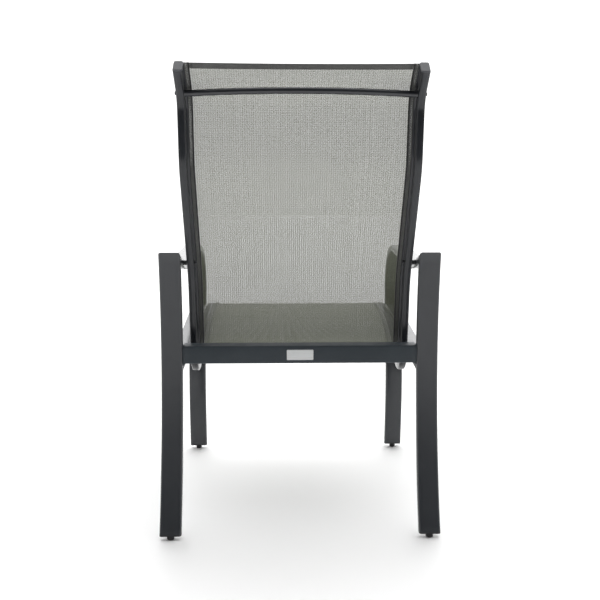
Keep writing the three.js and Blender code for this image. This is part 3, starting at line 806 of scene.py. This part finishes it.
# The bolts go through the middles of the solid spacers.
bolts = {}
for place in ("upper", "rear", "front"):
    spacer = centre_of("left_" + place + "_spacer")
    bolts[place] = side(spacer.y, spacer.z)

tube_outline = rounded_box(TUBE_WIDTH, TUBE_DEPTH, TUBE_CORNER)


# Side frames

def leg_face(path, height, towards_back):
    """A place just off a leg's front or back face at this height, and the direction square to the leg."""
    middle = point_at(path, height)
    near = min(path, key=lambda s: abs(s.at.z - height))
    square = near.along.cross(X)
    outward = square if towards_back else -square
    return middle + outward * (TUBE_DEPTH / 2 + GAP), square


def blend(a, b, start, stop, u):
    return a * ((stop - u) / (stop - start)) + b * ((u - start) / (stop - start))


def catmull(points, count):
    """A centripetal curve through the points."""
    knots = [points[0] * 2 - points[1], *points, points[-1] * 2 - points[-2]]
    samples = []
    for i in range(1, len(knots) - 2):
        p = knots[i - 1:i + 3]
        t = [0.0]
        for a, b in zip(p, p[1:]):
            t.append(t[-1] + math.sqrt((b - a).length))
        for k in range(count):
            u = t[1] + (t[2] - t[1]) * k / count
            near = [blend(p[j], p[j + 1], t[j], t[j + 1], u) for j in range(3)]
            far = [blend(near[j], near[j + 1], t[j], t[j + 2], u) for j in range(2)]
            samples.append(blend(far[0], far[1], t[1], t[2], u))
    samples.append(points[-1])
    stations = []
    for i, at in enumerate(samples):
        before = samples[max(0, i - 1)]
        after = samples[min(len(samples) - 1, i + 1)]
        stations.append(Station(at, after - before))
    return stations


front_leg_path = [
    s for i, s in enumerate(arm_path)
    if i == 0 or s.at.z <= SEAT_HEIGHT + ARM_RISE / 2 and s.at.y < 0
]
stretcher_rear, rear_square = leg_face(rear_leg_path, SIDE_STRETCHER_REAR_SHARE * SEAT_HEIGHT, False)
stretcher_front, front_square = leg_face(front_leg_path, SIDE_STRETCHER_FRONT_SHARE * SEAT_HEIGHT, True)
side_stretcher_path = catmull([stretcher_front, bolts["front"], bolts["rear"], stretcher_rear],
                              SIDE_STRETCHER_STEPS)
side_stretcher_path[0].face = front_square
side_stretcher_path[-1].face = rear_square

for name, sign in SIDES:
    middle = sign * frame_middle
    swept(name + "_arm_tube", arm_path, tube_outline, coat, middle=middle,
          slot="frame", replaces=[name + "_arm_and_front_leg"])
    swept(name + "_rear_leg_tube", rear_leg_path, tube_outline, coat, middle=middle,
          slot="frame", replaces=[name + "_rear_leg"])
    outline = rounded_box(SIDE_STRETCHER_WIDTH, SIDE_STRETCHER_HEIGHT, STRETCHER_CORNER)
    swept(name + "_side_stretcher_tube", side_stretcher_path, outline, coat,
          middle=sign * (frame_inner + SIDE_STRETCHER_WIDTH / 2),
          slot="frame", replaces=[name + "_side_stretcher"])

for name, height, depth in (
    ("rear_stretcher", REAR_STRETCHER_HEIGHT, REAR_STRETCHER_DEPTH),
    ("front_stretcher", FRONT_STRETCHER_HEIGHT, TUBE_DEPTH),
):
    low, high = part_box(name)
    middle = (low + high) / 2
    ends = [Station(Vector((x, middle.y, middle.z)), X) for x in (low.x, high.x)]
    swept(name + "_tube", filled(ends, STRETCHER_CHORD), rounded_box(depth, height, STRETCHER_CORNER),
          stretcher_lit_coat, across=Y, slot="frame", replaces=[name])

# Weld beads at the rear stretcher's ends: how far each reaches along the two faces that it joins, and the
# hollow surface and the root in shares of that
WELD_LOWER = 0.0055
WELD_UPPER = 0.0045
WELD_REAR = 0.0025
WELD_HOLLOW = ((1.0, -0.02), (0.62, 0.14), (0.34, 0.34), (0.14, 0.62), (-0.02, 1.0))
WELD_ROOT = 0.05
WELD_STEP = 0.0012
WELD_RIPPLE = 0.05
WELD_RIPPLE_PITCH = 0.0028
WELD_END = 0.45
WELD_END_SLOPE = 12
WELD_PAST_CORNER = 0.8
REAR_WELD_SHARE = 0.86


def weld(name, corner, towards, up, reach, length, across):
    """A slightly hollow fillet in the corner, reaching along both faces, and this long across them."""
    points = [corner - (towards + up) * reach * WELD_ROOT]
    points += [corner + towards * reach * a + up * reach * b for a, b in WELD_HOLLOW]
    bm = bmesh.new()
    rings = []
    steps = max(2, math.ceil(length / WELD_STEP))
    for k in range(steps + 1):
        share = k / steps
        ripple = 1 + WELD_RIPPLE * math.sin(share * length / WELD_RIPPLE_PITCH * 2 * math.pi)
        end = min(1.0, WELD_END_SLOPE * min(share, 1 - share) + WELD_END)
        rings.append([bm.verts.new(corner + (p - corner) * ripple * end + across * (share - 0.5) * length)
                      for p in points])
    for near, far in zip(rings, rings[1:]):
        bridge(bm, near, far, flat=(0, len(points) - 1))
    close(bm, rings)
    return new_object(name, finished(bm, name), stretcher_lit_coat, slot="frame")


low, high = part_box("rear_stretcher")
level = (low.z + high.z) / 2
leg_front = leg_face(rear_leg_path, level, False)[0].y + TUBE_CORNER * WELD_PAST_CORNER
length = high.y - leg_front
rear_length = (high.z - low.z) * REAR_WELD_SHARE
for name, sign in SIDES:
    towards = X * -sign
    corner = Vector((sign * frame_inner, high.y, level))
    for place, z, up, reach in (("lower", low.z, -Z, WELD_LOWER), ("upper", high.z, Z, WELD_UPPER)):
        at = Vector((corner.x, high.y - length / 2, z))
        weld(name + "_" + place + "_weld", at, towards, up, reach, length, Y)
    weld(name + "_rear_weld", corner, towards, Y, WELD_REAR, rear_length, Z)

# Sling rails and caps, and the cap's softened edge
CAP_EDGE = ((0.0, 0.0), (0.6, 0.0), (0.85, 0.08), (0.97, 0.25), (1.0, 0.45))


def rail_outline(sign):
    """The rail's section, with the chair's middle towards -sign: a box whose sitting edge swells into a
    lobe, and the channel that opens through the lobe's rounded corner."""
    half = RAIL_WIDTH / 2
    high = RAIL_DEPTH / 2
    waist = half - LOBE_REACH
    centre = half - channel_from_face
    quarter = math.pi / 2
    lip = math.asin(mouth_half / RAIL_CORNER)
    mouth = math.asin(mouth_half / channel_radius)
    lobe = channel_radius + LOBE_WALL
    lobe_start = -math.acos((waist - centre) / lobe)
    lobe_end = -math.acos(min(1.0, (half - centre) / lobe))
    back_x, back_level = waist - RAIL_BACK_CORNER, RAIL_BACK_CORNER - high
    corner_x, corner_level = half - RAIL_CORNER, high - RAIL_CORNER
    points = [
        *supported(arc(back_x, back_level, RAIL_BACK_CORNER, -quarter, 0, CORNER_STEPS)),
        *supported(arc(centre, channel_level, lobe, lobe_start, lobe_end, CORNER_STEPS)),
        *arc(corner_x, corner_level, RAIL_CORNER, 0, CHANNEL_TILT - lip, LIP_STEPS),
        *arc(centre, channel_level, channel_radius,
             CHANNEL_TILT - mouth, CHANNEL_TILT + mouth - 4 * quarter, CHANNEL_STEPS),
        *supported(arc(corner_x, corner_level, RAIL_CORNER, CHANNEL_TILT + lip, quarter, LIP_STEPS)),
        *supported(arc(-corner_x, corner_level, RAIL_CORNER, quarter, 2 * quarter, CORNER_STEPS)),
        *supported(arc(-corner_x, -corner_level, RAIL_CORNER, 2 * quarter, 3 * quarter, CORNER_STEPS)),
    ]
    return [Vector((-sign * p.x, p.y)) for p in points]


for name, sign in SIDES:
    swept(name + "_rail", rail_path, rail_outline(sign), rail_shaded_coat, middle=sign * rail_middle,
          slot="frame", replaces=[name + "_sling_rail"])
    for place, end, heading in (("top", rail_path[-1], 1), ("front", rail_path[0], -1)):
        outward = end.along * heading
        slab(name + "_" + place + "_cap", end.at + outward * (GAP / 2), outward,
             rounded_box(CAP_WIDTH, RAIL_DEPTH, RAIL_CORNER), CAP_FLANGE, CAP_EDGE, cap_plastic,
             across=X * heading, middle=sign * heading * rail_middle,
             slot="plastic", replaces=[name + "_rail_" + place + "_cap"])

# Brace, level with its screws
screw = centre_of("left_brace_screw")


def brace_path():
    bow_start = rail_waist - BRACE_END_LENGTH
    crown_radius = (bow_start ** 2 + BRACE_BOW ** 2) / (2 * BRACE_BOW)
    crown = 2 * BRACE_BOW / (1 - (BRACE_BOW / bow_start) ** 2)
    return bent_path([(Vector((x, screw.y + back, screw.z)), radius) for x, back, radius in (
        (-rail_waist, 0, 0),
        (-bow_start, 0, BRACE_ELBOW_RADIUS),
        (0, crown, crown_radius),
        (bow_start, 0, BRACE_ELBOW_RADIUS),
        (rail_waist, 0, 0),
    )], BRACE_CHORD)


swept("brace_rod", brace_path(), circle(BRACE_RADIUS, BRACE_SIDES), brace_shaded_coat, across=Z,
      slot="frame", replaces=["back_brace"])

# Sling: the cloth between its hems, level 0 being the middle of its thickness. It sags a little between
# the rails, and more at its free top end. A hem's nose and shoulder are in shares of half its thickness.
SEAM = 0.0012
SAG = 0.001
TOP_SAG = 0.0015
TOP_SAG_LENGTH = 0.06
CLOTH_COLUMNS = 40
HEM_TURN = 0.0006
SIDE_HEM_SHARE = 0.85
HEM_NOSE = 0.6
HEM_SHOULDER = 0.7
END_HEM_EDGE = 0.45


def split(path, distance):
    """The same path with one more station at this distance from its start."""
    lengths = path_lengths(path)
    for i in range(len(path) - 1):
        if lengths[i] < distance < lengths[i + 1]:
            share = (distance - lengths[i]) / (lengths[i + 1] - lengths[i])
            return [*path[:i + 1], between(path[i], path[i + 1], share), *path[i + 1:]]
    return path


sling_path = [Station(s.at + X.cross(s.along) * cloth_level, s.along) for s in rail_path]
sling_path[0].at += sling_path[0].along * SLING_MARGIN
sling_path[-1].at -= sling_path[-1].along * SLING_MARGIN
for distance in (SEAM, END_HEM - SEAM, END_HEM):
    sling_path = split(sling_path, distance)
    sling_path = split(sling_path, path_lengths(sling_path)[-1] - distance)
sling_lengths = path_lengths(sling_path)
sling_length = sling_lengths[-1]
all_rows = list(range(len(sling_path)))
top_rows = [i for i in all_rows if sling_lengths[i] >= sling_length - END_HEM - GAP]
front_rows = [i for i in all_rows if sling_lengths[i] <= END_HEM + GAP]
hem_edge = rail_inner - HEM_WIDTH
columns = [hem_edge * (2 * c / CLOTH_COLUMNS - 1) for c in range(CLOTH_COLUMNS + 1)]


def cloth_normal(index):
    return X.cross(sling_path[index].along).normalized()


def cloth_point(index, x, lift=0.0):
    share = min(1.0, abs(x) / hem_edge)
    sag = SAG + TOP_SAG * max(0.0, 1 - (sling_length - sling_lengths[index]) / TOP_SAG_LENGTH) ** 2
    return sling_path[index].at + X * x + cloth_normal(index) * (lift - sag * (1 - share ** 2))


def cloth_uv(row, column):
    return columns[column] + rail_inner, sling_lengths[row]


def cloth_mesh(name):
    bm = bmesh.new()
    layer = bm.loops.layers.uv.verify()
    grid = [[bm.verts.new(cloth_point(i, x)) for x in columns] for i in all_rows]
    for r in all_rows[:-1]:
        for c in range(CLOTH_COLUMNS):
            corners = ((r, c), (r, c + 1), (r + 1, c + 1), (r + 1, c))
            add_quad(bm, layer, [grid[i][j] for i, j in corners], [cloth_uv(i, j) for i, j in corners])
    return mesh_of(bm, name)


def side_hem(name, sign):
    """The doubled edge of the cloth: folded, sewn to itself, and turned down into the rail's channel,
    where it loops round the spline."""
    loop_radius = channel_radius - GAP
    half = FABRIC_THICKNESS * SIDE_HEM_SHARE
    join = math.asin(half / loop_radius)
    rise = cloth_level - channel_level
    turn_x = channel_x - rise / math.tan(CHANNEL_TILT) - HEM_TURN
    turn_level = -half - HEM_TURN
    mouth = math.pi - CHANNEL_TILT
    quarter = math.pi / 2
    slant = quarter - CHANNEL_TILT
    shoulder_x = hem_edge - half * HEM_NOSE / 2
    shoulder = half * HEM_SHOULDER
    section = [
        Vector((hem_edge - half * HEM_NOSE, 0.0)),
        Vector((shoulder_x, -shoulder)),
        Vector((hem_edge, -half)),
        *arc(turn_x, turn_level, HEM_TURN, quarter, slant, HEM_BEND_STEPS),
        *arc(channel_x, -rise, loop_radius, mouth + join, mouth + 4 * quarter - join, HEM_LOOP_STEPS),
        *arc(turn_x, turn_level, HEM_TURN + 2 * half, slant, quarter, HEM_BEND_STEPS),
        Vector((hem_edge, half)),
        Vector((shoulder_x, shoulder)),
    ]
    bm = bmesh.new()
    sweep_into(bm, sling_path, [Vector((sign * p.x, p.y)) for p in section], ends=False)
    # Both layers count their width from the inner edge, so that their holes lie over each other.
    layer = bm.loops.layers.uv.verify()
    girth = max(loop[layer].uv.x for face in bm.faces for loop in face.loops)
    for face in bm.faces:
        for loop in face.loops:
            uv = loop[layer].uv
            uv.x = min(uv.x, girth - uv.x)
    return new_object(name, finished(bm, name), side_hem_cloth, slot="mesh")


def end_hem(name, rows):
    """The turned and sewn end of the cloth, a closed band round it."""
    bm = bmesh.new()
    layer = bm.loops.layers.uv.verify()
    rings = []
    for row in rows:
        half = FABRIC_THICKNESS * (END_HEM_EDGE if row in (rows[0], rows[-1]) else 1.0)
        rings.append([[bm.verts.new(cloth_point(row, x, lift)) for x in columns] for lift in (-half, half)])
    strips = list(zip(rings, rings[1:], rows, rows[1:]))
    for near, far, row, next_row in strips:
        for c in range(CLOTH_COLUMNS):
            uvs = [cloth_uv(row, c), cloth_uv(row, c + 1), cloth_uv(next_row, c + 1), cloth_uv(next_row, c)]
            for face in (0, 1):
                add_quad(bm, layer, (near[face][c], near[face][c + 1], far[face][c + 1], far[face][c]), uvs)
    for lower, upper in (rings[0], rings[-1]):
        for c in range(CLOTH_COLUMNS):
            uv = (columns[c] + rail_inner, 0.0)
            add_quad(bm, layer, (lower[c], lower[c + 1], upper[c + 1], upper[c]), [uv] * 4)
    for c in (0, CLOTH_COLUMNS):
        for near, far, row, _ in strips:
            uv = (0.0, sling_lengths[row])
            add_quad(bm, layer, (near[0][c], far[0][c], far[1][c], near[1][c]), [uv] * 4)
    return new_object(name, finished(bm, name), end_hem_cloth, slot="mesh")


cloth = new_object("sling_cloth", cloth_mesh("sling_cloth"), mesh_cloth, slot="mesh", replaces=["sling"])
hems = [side_hem(name + "_side_hem", sign) for name, sign in SIDES]
hems += [end_hem("top_hem", top_rows), end_hem("front_hem", front_rows)]

# Stitches: short threads, whose arch out of the hem's face is in shares of their length and radius. The
# side seams are distances from a side hem's inner edge.
STITCH_PITCH = 0.0036
STITCH_LENGTH = 0.0027
STITCH_RADIUS = 0.00032
STITCH_ARCH = ((0.0, -0.8), (0.2, 0.5), (0.8, 0.5), (1.0, -0.8))
SIDE_SEAMS = (0.0020, 0.0050)
SIDE_STITCH_LEVEL = 0.75


def stitch_row(bm, points, normals):
    """Threads along a line of points, with the cloth's normal at each."""
    lengths = lengths_along(points)
    index = 0
    for k in range(int(lengths[-1] / STITCH_PITCH)):
        start = k * STITCH_PITCH
        while index < len(points) - 2 and start > lengths[index + 1]:
            index += 1
        n = normals[index]
        along = (points[index + 1] - points[index]).normalized()
        side_way = along.cross(n).normalized()
        origin = points[index] + along * (start - lengths[index])
        rings = []
        for share, lift in STITCH_ARCH:
            middle = origin + along * share * STITCH_LENGTH + n * lift * STITCH_RADIUS
            rings.append([
                bm.verts.new(middle + side_way * STITCH_RADIUS * ca + n * STITCH_RADIUS * sa)
                for ca, sa in ((1, 0), (0, 1), (-1, 0), (0, -1))
            ])
        for near, far in zip(rings, rings[1:]):
            bridge(bm, near, far)


def sew():
    """Two seams along each side hem and one along each end hem, on both faces of the cloth."""
    bm = bmesh.new()
    for sign in (1, -1):
        for inset in SIDE_SEAMS:
            x = sign * (hem_edge + inset)
            for face_sign in (1, -1):
                lift = face_sign * FABRIC_THICKNESS * SIDE_STITCH_LEVEL
                points = [cloth_point(i, x, lift) for i in all_rows]
                stitch_row(bm, points, [cloth_normal(i) * face_sign for i in all_rows])
    for row in (top_rows[0] + 1, front_rows[-1] - 1):
        for face_sign in (1, -1):
            points = [cloth_point(row, x, face_sign * FABRIC_THICKNESS) for x in columns]
            stitch_row(bm, points, [cloth_normal(row) * face_sign] * len(points))
    return new_object("sling_stitches", finished(bm, "sling_stitches"), thread, slot="mesh")


hems.append(sew())

# Fittings: profiles in shares of the radius and height, and a glide's edges in shares of their rounding,
# in from the side and up or down
BOLT_HEAD_PROFILE = (
    (0.94, 0.0), (1.0, 0.12), (1.0, 0.45), (0.93, 0.68), (0.78, 0.87), (0.58, 1.0), (0.5, 1.0),
    (0.42, 0.97), (0.42, 0.5),
)
SCREW_HEAD_PROFILE = (
    (0.96, 0.0), (1.0, 0.1), (1.0, 0.35), (0.9, 0.7), (0.65, 0.95), (0.52, 1.0), (0.46, 0.97), (0.46, 0.5),
)
SPACER_PROFILE = ((0.93, 0.0), (1.0, 0.07), (1.0, 0.93), (0.93, 1.0))
INSERT_PROFILE = ((0.95, 0.0), (1.0, 0.3), (1.0, 1.0))
GLIDE_LOWER_EDGE = ((1.0, 0.0), (0.45, 0.2), (0.12, 0.6), (0.0, 1.1))
GLIDE_UPPER_EDGE = ((0.0, 0.6), (0.2, 0.2), (0.6, 0.0))


def scaled(profile, radius, height):
    return [(radius * a, height * b) for a, b in profile]


def bolt_set(name, sign, at):
    """A bolt's head on the rail, its spacer and the flange of its insert, at a place in the side view."""
    def out(x):
        return Vector((sign * x, at.y, at.z))
    turned(name + "_bolt_head", scaled(BOLT_HEAD_PROFILE, BOLT_HEAD_RADIUS, BOLT_HEAD_HEIGHT), black_steel,
           out(rail_waist - GAP), heading=-sign, socket=True, slot="fastener", replaces=[name + "_bolt"])
    spacer = scaled(SPACER_PROFILE, SPACER_RADIUS, RAIL_GAP - INSERT_FLANGE - 3 * GAP)
    turned(name + "_spacer_ring", spacer, plug_plastic, out(rail_outer + GAP), heading=sign,
           slot="plastic", replaces=[name + "_spacer"])
    turned(name + "_insert_flange", scaled(INSERT_PROFILE, INSERT_FLANGE_RADIUS, INSERT_FLANGE), black_steel,
           out(frame_inner - GAP - INSERT_FLANGE), heading=sign, slot="fastener", replaces=[name + "_insert"])


def brace_screw(name, sign):
    start = Vector((sign * (rail_outer + GAP), screw.y, screw.z))
    turned(name + "_head", scaled(SCREW_HEAD_PROFILE, SCREW_HEAD_RADIUS, SCREW_HEAD_HEIGHT), black_steel,
           start, heading=sign, socket=True, slot="fastener", replaces=[name])


def glide(name):
    at = centre_of(name)
    centre = Vector((at.x, at.y, 0.0))
    profile = [(GLIDE_RADIUS - GLIDE_EDGE * a, GLIDE_EDGE * b) for a, b in GLIDE_LOWER_EDGE]
    profile += [(GLIDE_RADIUS - GLIDE_EDGE * a, GLIDE_HEIGHT - GLIDE_EDGE * b) for a, b in GLIDE_UPPER_EDGE]
    turned(name + "_foot", profile, glide_rubber, centre, axis="Z", slot="glide", replaces=[name])


for name, sign in SIDES:
    for place, at in bolts.items():
        bolt_set(name + "_" + place, sign, at)
    brace_screw(name + "_brace_screw", sign)
    for place in ("rear", "front"):
        glide(name + "_" + place + "_glide")

# Bare plate on the rear stretcher, with a softened edge
PLATE_EDGE = ((0.0, 0.0), (0.6, 0.0), (0.85, 0.15), (1.0, 0.4))
plate = centre_of("label_plate")
slab("bare_plate", Vector((plate.x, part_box("label_plate")[0].y, plate.z)), Y,
     rounded_box(PLATE_WIDTH, PLATE_HEIGHT, PLATE_CORNER), PLATE_THICKNESS, PLATE_EDGE, plate_metal,
     slot="plate", replaces=["label_plate"])

# Solids that keep their shape get their finish
for node_name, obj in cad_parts.items():
    if node_name.endswith(("_spline", "_plug")):
        obj.data.materials.clear()
        obj.data.materials.append(plug_plastic)

# Floor
FLOOR_SIDE = 9.0
FLOOR_FRONT = -14.0
FLOOR_BACK = 3.0
FLOOR_LEVEL = -0.0002
FLOOR_COLOUR = (0.93, 0.93, 0.93, 1)
FLOOR_ROUGHNESS = 0.6


def build_floor():
    bm = bmesh.new()
    corners = ((-FLOOR_SIDE, FLOOR_FRONT), (FLOOR_SIDE, FLOOR_FRONT),
               (FLOOR_SIDE, FLOOR_BACK), (-FLOOR_SIDE, FLOOR_BACK))
    bm.faces.new([bm.verts.new((x, y, FLOOR_LEVEL)) for x, y in corners])
    floor = bpy.data.objects.new("studio_floor", mesh_of(bm, "studio_floor"))
    bpy.context.scene.collection.objects.link(floor)
    material, _, shader = new_material("studio_floor")
    feed(shader, {"Base Color": FLOOR_COLOUR, "Roughness": FLOOR_ROUGHNESS})
    floor.data.materials.append(material)


build_floor()

# Light. The pairs are where a change between light and dark begins and ends.
STUDIO_FRONT = 1.0
STUDIO_BACK = 0.10
STUDIO_DARK = (0.05, 0.60)
BACKDROP = 1.42
CEILING = 1.28
CEILING_EDGE = (0.25, 0.90)
LIGHT_BEAM = Vector((0.16, 0.60, -0.82))
SOFTBOX_ENERGY = 0.35
SOFTBOX_ANGLE = math.radians(60)


def build_studio():
    world = bpy.data.worlds.new("studio")
    bpy.context.scene.world = world
    world.use_nodes = True
    tree = world.node_tree
    towards = node(tree, "ShaderNodeTexCoord").outputs["Generated"]
    # White screens stand beyond the chair and beside it. The studio behind the camera is dark.
    direction = node(tree, "ShaderNodeSeparateXYZ", {0: towards})
    light_side = ranged(direction.outputs["Y"], *STUDIO_DARK, 1.0, 0.0, "SMOOTHSTEP")
    screens = times_plus(light_side, STUDIO_FRONT - STUDIO_BACK, STUDIO_BACK)
    # A large soft ceiling of light hangs over the chair's front, a little to the right in the picture.
    to_light = {0: towards, 1: -LIGHT_BEAM.normalized()}
    upward = node(tree, "ShaderNodeVectorMath", to_light, operation="DOT_PRODUCT")
    ceiling = ranged(upward.outputs["Value"], *CEILING_EDGE, 0.0, CEILING, "SMOOTHSTEP")
    # The camera sees an even backdrop in place of them.
    seen = node(tree, "ShaderNodeLightPath").outputs["Is Camera Ray"]
    levels = {"Factor": seen, "A": math_node("ADD", screens, ceiling), "B": BACKDROP}
    strength = node(tree, "ShaderNodeMix", levels, data_type="FLOAT").outputs["Result"]
    feed(tree.nodes["Background"], {"Strength": strength, "Color": (1, 1, 1, 1)})


build_studio()

# A softbox in the ceiling draws the chair's soft shadow.
softbox = bpy.data.lights.new("overhead_softbox", "SUN")
softbox.energy = SOFTBOX_ENERGY
softbox.angle = SOFTBOX_ANGLE
sun = bpy.data.objects.new("overhead_softbox", softbox)
sun.rotation_euler = LIGHT_BEAM.to_track_quat("-Z", "Y").to_euler()
bpy.context.scene.collection.objects.link(sun)

# Camera: the photograph's place, angle and framing
CAMERA_AT = Vector((0.0404, 1.7725, 0.8073))
CAMERA_PITCH = math.radians(6)
CAMERA_YAW = -0.0252
CAMERA_ROLL = 0.0013
CAMERA_LENS = 42.24
CAMERA_SENSOR = 36
CAMERA_SHIFT = -0.0778


def build_camera():
    forward = Vector((math.sin(CAMERA_YAW) * math.cos(CAMERA_PITCH),
                      -math.cos(CAMERA_YAW) * math.cos(CAMERA_PITCH),
                      -math.sin(CAMERA_PITCH)))
    turn = forward.to_track_quat("-Z", "Y").to_matrix().to_4x4()
    lens = bpy.data.cameras.new("photo_camera")
    lens.lens = CAMERA_LENS
    lens.sensor_width = CAMERA_SENSOR
    lens.shift_y = CAMERA_SHIFT
    camera = bpy.data.objects.new("photo_camera", lens)
    camera.matrix_world = Matrix.Translation(CAMERA_AT) @ turn @ Matrix.Rotation(CAMERA_ROLL, 4, "Z")
    bpy.context.scene.collection.objects.link(camera)
    bpy.context.scene.camera = camera


build_camera()
bpy.context.scene.view_settings.view_transform = "Standard"
